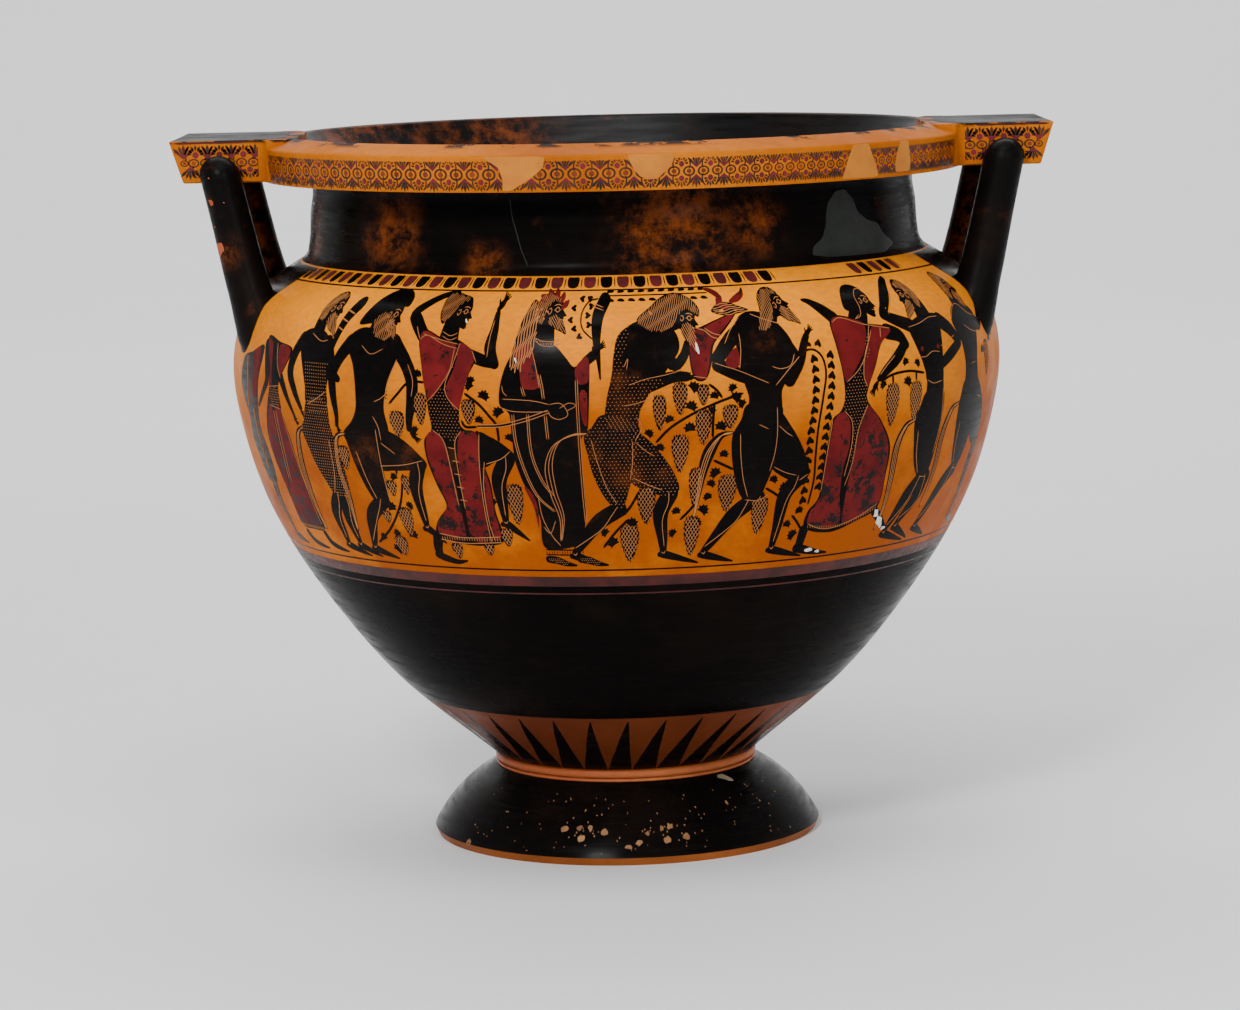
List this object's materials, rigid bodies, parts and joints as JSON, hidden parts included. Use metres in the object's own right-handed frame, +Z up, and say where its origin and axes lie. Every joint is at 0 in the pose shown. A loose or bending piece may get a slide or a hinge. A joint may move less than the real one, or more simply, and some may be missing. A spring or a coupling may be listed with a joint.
{
  "type": "column krater",
  "caption": "Wide-mouthed terracotta mixing bowl on an echinus foot, with an overhanging rim and column handles under flat plates.",
  "frame": {"origin": "centre of the foot's resting face, on the vessel's axis", "axes": "+Z up along the vessel's axis, +X through the two handles to the right, front of the frieze towards -Y"},
  "size_m": [0.6888, 0.6109, 0.565],
  "materials": {
    "terracotta": "burnished orange clay with a soft sheen",
    "black_glaze": "glossy black slip, fired brown in places",
    "added_red": "matt purple-red slip",
    "plaster_fill": "matt tinted plaster",
    "painted_fill": "plaster painted grey-green, satin"
  },
  "bodies": {
    "root": {"foot": "black_glaze", "foot_collar": "terracotta", "bowl": "terracotta", "neck": "black_glaze", "rim": "terracotta", "handle_plate_left": "terracotta", "handle_plate_right": "terracotta", "column_left_front": "black_glaze", "column_left_back": "black_glaze", "column_right_front": "black_glaze", "column_right_back": "black_glaze", "rim_fill_1": "plaster_fill", "rim_fill_2": "plaster_fill", "rim_fill_3": "plaster_fill", "rim_fill_4": "plaster_fill", "neck_fill": "painted_fill"}
  },
  "joints": []
}
